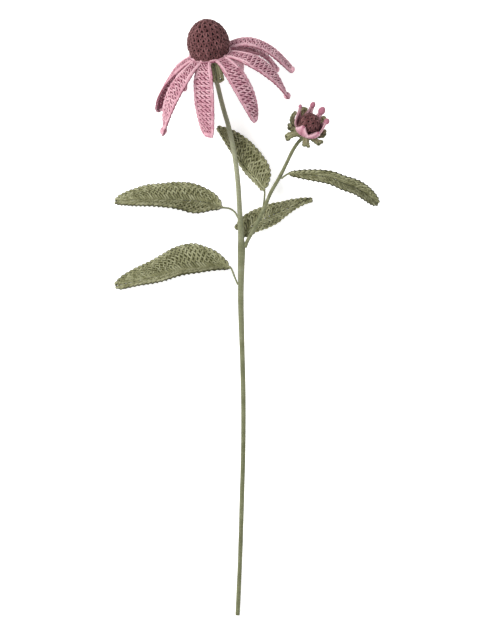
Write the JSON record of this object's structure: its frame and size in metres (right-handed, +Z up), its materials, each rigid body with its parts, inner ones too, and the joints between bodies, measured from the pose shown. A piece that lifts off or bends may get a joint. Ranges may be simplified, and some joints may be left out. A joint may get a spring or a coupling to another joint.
{
  "type": "crocheted coneflower stem",
  "caption": "Crocheted coneflower on a wrapped wire stem, with a drooping pink bloom, a stuffed dark cone, a side shoot with a bud, and lance-shaped leaves, lying on a table.",
  "frame": {"origin": "middle of the outline as seen from above, on the table that the stem lies on", "axes": "+Y along the stem from its cut end to the bloom, +Z up from the table, +X to the side that the bud is on"},
  "size_m": [0.2008, 0.448, 0.0705],
  "materials": {
    "steel_wire": "plain drawn steel wire",
    "stem_yarn": "matt sage green cotton yarn, wrapped tightly",
    "leaf_yarn": "matt olive green cotton yarn, crocheted",
    "pink_yarn": "matt dusty pink cotton yarn, crocheted",
    "cone_yarn": "matt mauve brown cotton yarn, crocheted",
    "filling": "off-white fibre filling"
  },
  "bodies": {
    "root": {"stem_wire": "steel_wire", "branch_wire": "steel_wire", "stem_wrap": "stem_yarn", "branch_wrap": "stem_yarn", "cone_shell": "cone_yarn", "cone_filling": "filling", "bloom_petals": "pink_yarn", "bloom_calyx": "leaf_yarn", "bud_shell": "cone_yarn", "bud_filling": "filling", "bud_petals": "pink_yarn", "bud_calyx": "leaf_yarn", "leaf_1_blade": "leaf_yarn", "leaf_2_blade": "leaf_yarn", "leaf_3_blade": "leaf_yarn", "leaf_4_blade": "leaf_yarn", "leaf_5_blade": "leaf_yarn", "leaf_1_wire": "stem_yarn", "leaf_2_wire": "stem_yarn", "leaf_3_wire": "stem_yarn", "leaf_4_wire": "stem_yarn", "leaf_5_wire": "stem_yarn"}
  },
  "joints": []
}
